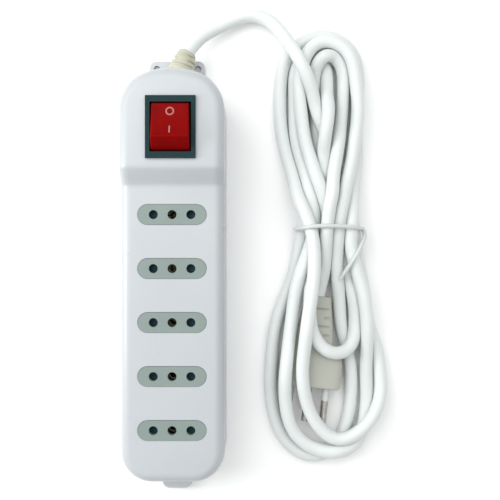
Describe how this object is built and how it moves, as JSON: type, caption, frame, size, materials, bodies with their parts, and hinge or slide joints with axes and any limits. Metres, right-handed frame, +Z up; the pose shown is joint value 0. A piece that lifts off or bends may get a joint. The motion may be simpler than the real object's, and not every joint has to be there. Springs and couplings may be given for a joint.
{
  "type": "power strip",
  "caption": "Power strip with a row of three-pin outlets behind safety shutters, a lit two-pole rocker switch, screw ears, and a mains lead folded in a tied hank that ends in a moulded plug.",
  "frame": {"origin": "middle of the strip's footprint, on the surface that its back lies on; the lead, hank and plug aren't counted", "axes": "+Y along the strip towards the switch and the lead's exit, +X across it towards the hank, +Z up out of the outlets"},
  "size_m": [0.1402, 0.2592, 0.0453],
  "materials": {
    "casing": "smooth satin",
    "casing_base": "smooth satin",
    "steel": "zinc plated",
    "bezel": "satin",
    "rocker": "translucent gloss",
    "nylon": "matte",
    "brass": "plain",
    "lamp_glass": "clear",
    "wire_brown": "matte",
    "wire_blue": "matte",
    "wire_green": "matte, green with a yellow stripe",
    "clamp": "matte",
    "strain_relief": "satin",
    "cord": "satin pvc",
    "tie": "satin",
    "plug": "satin",
    "pin_nickel": "nickel plated",
    "pin_sleeve": "satin",
    "insert": "satin",
    "shutter": "satin"
  },
  "bodies": {
    "casing": {"upper_shell": "casing", "base_shell": "casing_base", "casing_screws": "steel", "outlet_insert_1": "insert", "outlet_insert_2": "insert", "outlet_insert_3": "insert", "outlet_insert_4": "insert", "outlet_insert_5": "insert", "shutter_spring_1": "steel", "shutter_spring_2": "steel", "shutter_spring_3": "steel", "shutter_spring_4": "steel", "shutter_spring_5": "steel", "switch_housing": "bezel", "switch_input_terminals": "brass", "switch_output_terminals": "brass", "neon_lamp": "lamp_glass", "live_busbar": "brass", "neutral_busbar": "brass", "earth_busbar": "brass", "live_wire_in": "wire_brown", "neutral_wire_in": "wire_blue", "live_wire_out": "wire_brown", "neutral_wire_out": "wire_blue", "earth_wire": "wire_green", "cable_clamp": "clamp", "clamp_screws": "steel", "strain_relief": "strain_relief", "cord_lead": "cord", "cord_hank": "cord", "cord_tie": "tie", "plug_body": "plug", "plug_pins": "pin_nickel", "plug_pin_sleeves": "pin_sleeve"},
    "rocker": {"switch_rocker": "rocker", "rocker_plungers": "nylon", "plunger_springs": "steel"},
    "levers": {"contact_lever_live": "brass", "contact_lever_neutral": "brass"},
    "shutter_1": {"outlet_shutter_1": "shutter"},
    "shutter_2": {"outlet_shutter_2": "shutter"},
    "shutter_3": {"outlet_shutter_3": "shutter"},
    "shutter_4": {"outlet_shutter_4": "shutter"},
    "shutter_5": {"outlet_shutter_5": "shutter"}
  },
  "joints": [
    {"name": "rocker_tilt", "type": "hinge", "parent": "casing", "child": "rocker", "pos_m": [0, 0.0744, 0.033], "axis": [1, 0, 0], "range_deg": [0, 30]},
    {"name": "lever_tilt", "type": "hinge", "parent": "casing", "child": "levers", "pos_m": [0, 0.0744, 0.0212], "axis": [1, 0, 0], "range_deg": [-16, 0]},
    {"name": "shutter_slide_1", "type": "slide", "parent": "casing", "child": "shutter_1", "axis": [1, 0, 0], "range_m": [0, 0.0046], "stiffness_N_per_m": 150, "springref_m": -0.002, "deforming": ["shutter_spring_1"]},
    {"name": "shutter_slide_2", "type": "slide", "parent": "casing", "child": "shutter_2", "axis": [1, 0, 0], "range_m": [0, 0.0046], "stiffness_N_per_m": 150, "springref_m": -0.002, "deforming": ["shutter_spring_2"]},
    {"name": "shutter_slide_3", "type": "slide", "parent": "casing", "child": "shutter_3", "axis": [1, 0, 0], "range_m": [0, 0.0046], "stiffness_N_per_m": 150, "springref_m": -0.002, "deforming": ["shutter_spring_3"]},
    {"name": "shutter_slide_4", "type": "slide", "parent": "casing", "child": "shutter_4", "axis": [1, 0, 0], "range_m": [0, 0.0046], "stiffness_N_per_m": 150, "springref_m": -0.002, "deforming": ["shutter_spring_4"]},
    {"name": "shutter_slide_5", "type": "slide", "parent": "casing", "child": "shutter_5", "axis": [1, 0, 0], "range_m": [0, 0.0046], "stiffness_N_per_m": 150, "springref_m": -0.002, "deforming": ["shutter_spring_5"]}
  ],
  "couplings": [
    {"joint": "lever_tilt", "follows": "rocker_tilt", "ratio": -0.53333}
  ]
}
